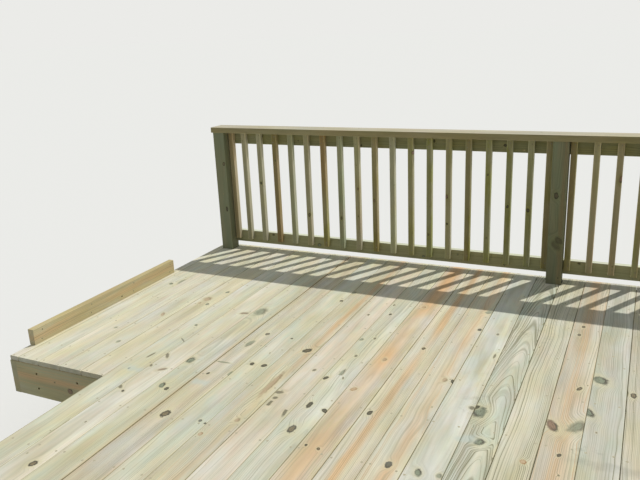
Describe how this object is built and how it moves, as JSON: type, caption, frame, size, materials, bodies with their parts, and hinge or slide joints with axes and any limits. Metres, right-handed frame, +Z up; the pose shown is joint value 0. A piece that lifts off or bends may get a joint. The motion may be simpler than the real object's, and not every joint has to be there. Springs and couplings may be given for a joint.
{
  "type": "wooden deck with guard railing",
  "caption": "Low L-shaped timber deck that bolts to a stepped house wall, its three open sides guarded by posts, two rails, square balusters and a flat cap.",
  "frame": {"origin": "centre of the deck's outline, caps included, on the ground", "axes": "+X away from the house wall, +Y along the wall from the near side to the far side, +Z up"},
  "size_m": [4.897, 4.889, 1.564],
  "materials": {
    "decking": "new pressure-treated pine boards, planed, unpainted",
    "posts": "green-tinted treated pine, planed, unpainted",
    "rails": "treated pine, planed, unpainted",
    "balusters": "treated pine, planed, unpainted, mixed tints",
    "cap": "pale treated pine, planed, unpainted",
    "framing": "treated pine framing lumber, unpainted",
    "sill": "treated pine, planed, unpainted",
    "galvanized": "galvanized sheet"
  },
  "bodies": {
    "root": {"post_far_left": "posts", "post_far_middle": "posts", "post_far_right": "posts", "post_right_middle": "posts", "post_near_right": "posts", "post_near_middle": "posts", "post_near_left": "posts", "top_rail_far": "rails", "top_rail_right": "rails", "top_rail_near": "rails", "bottom_rail_far": "rails", "bottom_rail_right": "rails", "bottom_rail_near": "rails", "cap_far": "cap", "cap_right": "cap", "cap_near": "cap", "balusters_far_left": "balusters", "balusters_far_right": "balusters", "balusters_right_far": "balusters", "balusters_right_near": "balusters", "balusters_near_right": "balusters", "balusters_near_left": "balusters", "decking_recess": "decking", "decking_left": "decking", "decking_middle": "decking", "decking_right": "decking", "joists_far": "framing", "joists_near": "framing", "rim_far": "framing", "rim_right": "framing", "rim_near": "framing", "ledger_back": "framing", "ledger_side": "framing", "ledger_front": "framing", "beam_middle_inner": "framing", "beam_middle_outer": "framing", "beam_right_inner": "framing", "beam_right_outer": "framing", "support_post": "framing", "hangers_far": "galvanized", "hangers_near": "galvanized", "sill_board": "sill"}
  },
  "joints": []
}
